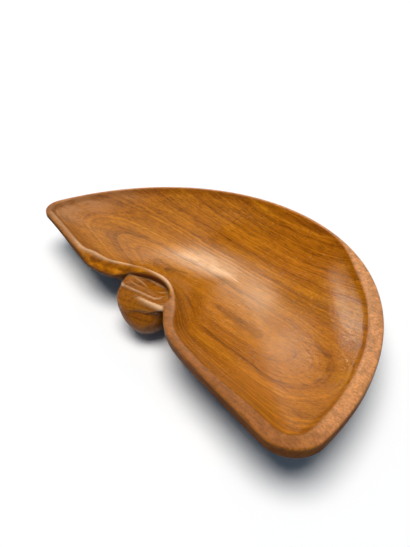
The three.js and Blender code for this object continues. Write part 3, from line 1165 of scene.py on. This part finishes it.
floor_mesh = bmesh.new()
bmesh.ops.create_grid(floor_mesh, x_segments=1, y_segments=1, size=FLOOR_REACH)
floor = new_object("floor", floor_mesh)
pale, n, surface = new_material("pale_floor")
seen = n.rays("Camera", "Glossy", "Transmission")
n.links.new(n.blend(seen, FLOOR_GREY, WHITE), surface.inputs["Base Color"])
surface.inputs["Roughness"].default_value = 0.9
surface.inputs["Specular IOR Level"].default_value = 0.0
floor.data.materials.append(pale)
print("floor:", [round(v, 1) for v in floor.dimensions], "m")

# %% [markdown]
# ## Lamps
# The shadow comes from a wide soft source overhead, and a small bright window behind makes the
# highlight on the floor of the dish. The same lamps could do both, but then each move of a
# reflection would change the shadow. So the dome lights without showing in the polish, as a
# photographer's polarised fill does. The window and two soft boxes show only in the polish,
# and golden, because old oil tints what it mirrors.

# %% Lamps
WARM = (1.04, 1.0, 0.96)  # the light that falls on the dish
GOLDEN = (1.0, 0.87, 0.66)  # and the light that its polish mirrors


def towards(azimuth, elevation):
    """The direction to a light: azimuth from +X towards +Y, in degrees."""
    a, e = math.radians(azimuth), math.radians(elevation)
    return Vector((math.cos(a) * math.cos(e), math.sin(a) * math.cos(e), math.sin(e)))


def hang(name, lamp, azimuth, elevation, distance, in_gloss):
    """Puts a lamp in a direction from the dish and turns it to face the dish. It shows either
    in the polish or in the plain light."""
    lamp.color = GOLDEN if in_gloss else WARM
    holder = bpy.data.objects.new(name, lamp)
    holder.visible_glossy = in_gloss
    holder.visible_diffuse = not in_gloss
    direction = towards(azimuth, elevation)
    holder.location = direction * distance
    holder.rotation_mode = "QUATERNION"
    holder.rotation_quaternion = direction.to_track_quat("Z", "Y")
    bpy.context.scene.collection.objects.link(holder)


def disc_lamp(name, azimuth, elevation, width, radiance, in_gloss):
    """A round soft lamp far away, as wide as an angle in degrees. Returns how bright it alone
    would make a white floor."""
    lamp = bpy.data.lights.new(name, "SUN")
    lamp.angle = math.radians(width)
    level = radiance * math.sin(lamp.angle / 2) ** 2
    lamp.energy = math.pi * level
    hang(name, lamp, azimuth, elevation, 5, in_gloss)
    return 0.0 if in_gloss else level * math.sin(math.radians(elevation))


def window_lamp(name, azimuth, elevation, distance, width, height, radiance):
    """A rectangular lamp that shows only in the polish, as a window's reflection does."""
    lamp = bpy.data.lights.new(name, "AREA")
    lamp.shape = "RECTANGLE"
    lamp.size = width
    lamp.size_y = height
    lamp.energy = math.pi * radiance * width * height
    hang(name, lamp, azimuth, elevation, distance, in_gloss=True)


level = disc_lamp("fill_dome", -72, 82.5, width=44, radiance=6.4, in_gloss=False)
level += disc_lamp("soft_box", 119, 39, width=26, radiance=2.2, in_gloss=True)
level += disc_lamp("top_box", 55, 68, width=32, radiance=2.3, in_gloss=True)
window_lamp("window", 138, 39.5, distance=8, width=1.2, height=1.35, radiance=19)
print("level from the lamps:", round(level, 3))

# %% [markdown]
# ## The studio's walls
# Apart from the lamps, the polish mirrors the room: dark walls with brighter patches. A room
# could be built, but wood mirrors it so softly that three patches are enough. What light the
# walls send to the dish is a little blue, like daylight. The camera sees them plain white.

# %% The studio's walls
WALL_LEVEL = 0.04
DAYLIGHT = (0.07, 0.12, 0.17, 1)

world = bpy.data.worlds.new("studio")
bpy.context.scene.world = world
world.use_nodes = True
n = Nodes(world.node_tree)
direction = n.add("TexCoord", output="Generated")


def glow(azimuth, elevation, inner, outer, strength):
    """A patch of brighter wall round one direction, full inside and none outside."""
    nearness = n.dot(direction, towards(azimuth, elevation))
    start, end = math.cos(math.radians(outer)), math.cos(math.radians(inner))
    return n.fade(nearness, start, end, 0.0, strength)


walls = n.total(
    glow(165, 21.2, inner=0, outer=3.6, strength=42),
    glow(147, 24, inner=0, outer=5, strength=9),
    WALL_LEVEL,
    glow(162, 10, inner=1, outer=9, strength=0.35),
)
shade = n.tint(n.grey(walls), (*GOLDEN, 1))
shade = n.blend(n.rays("Diffuse"), shade, DAYLIGHT)
background = world.node_tree.nodes["Background"]
seen = n.rays("Camera", "Transmission")
n.links.new(n.blend(seen, shade, WHITE), background.inputs["Color"])
bpy.context.scene.view_settings.view_transform = "Standard"
print("walls:", len(n.nodes), "nodes")
